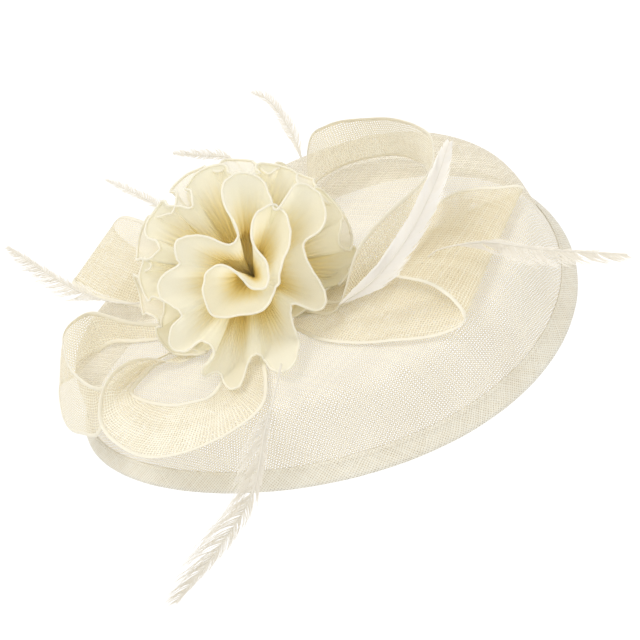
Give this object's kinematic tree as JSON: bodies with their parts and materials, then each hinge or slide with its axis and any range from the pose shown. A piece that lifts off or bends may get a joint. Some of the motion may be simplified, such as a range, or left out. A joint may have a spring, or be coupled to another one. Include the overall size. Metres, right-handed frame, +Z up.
{
  "type": "fascinator headpiece",
  "caption": "Oval sinamay fascinator with a bound brim, ribbon loops, a ruffled chiffon flower, feathers and a sprung hair clip underneath.",
  "frame": {"origin": "centre of the oval of the brim's edge, in the plane where the head goes in", "axes": "+Z up out of the crown, +X along the oval's long side, +Y towards the back loop"},
  "size_m": [0.3862, 0.3374, 0.1286],
  "materials": {
    "sinamay": "open woven straw mesh, cream, matt",
    "binding": "bias-cut sinamay tape, cream, stitched",
    "ribbon": "sinamay ribbon with a rolled hem, cream, matt",
    "chiffon": "translucent chiffon with a narrow hem",
    "feather": "white stripped feather barbs",
    "felt": "cream wool felt",
    "thread": "cream cotton thread",
    "steel": "nickel plated, satin"
  },
  "bodies": {
    "hat": {"sinamay_base": "sinamay", "brim_wire": "steel", "brim_binding": "binding", "loop_back": "ribbon", "loop_right": "ribbon", "loop_left": "ribbon", "loop_side": "ribbon", "loop_front": "ribbon", "ruffle_center": "chiffon", "ruffle_inner": "chiffon", "ruffle_middle": "chiffon", "ruffle_outer": "chiffon", "ruffle_back": "chiffon", "flower_backing": "felt", "feather_1": "feather", "feather_2": "feather", "feather_3": "feather", "feather_4": "feather", "feather_5": "feather", "feather_6": "feather", "feather_7": "feather", "felt_pad": "felt", "pad_stitch_1": "thread", "pad_stitch_2": "thread", "pad_stitch_3": "thread", "pad_stitch_4": "thread", "clip_upper_jaw": "steel", "clip_pin": "steel", "clip_spring": "steel"},
    "clip_jaw": {"clip_lower_jaw": "steel"}
  },
  "joints": [
    {"name": "clip_hinge", "type": "hinge", "parent": "hat", "child": "clip_jaw", "pos_m": [0.01, 0, 0.0334], "axis": [0, -1, 0], "range_deg": [0, 32], "stiffness_Nm_per_rad": 0.05, "springref_deg": -22.92, "deforming": ["clip_spring"]}
  ]
}
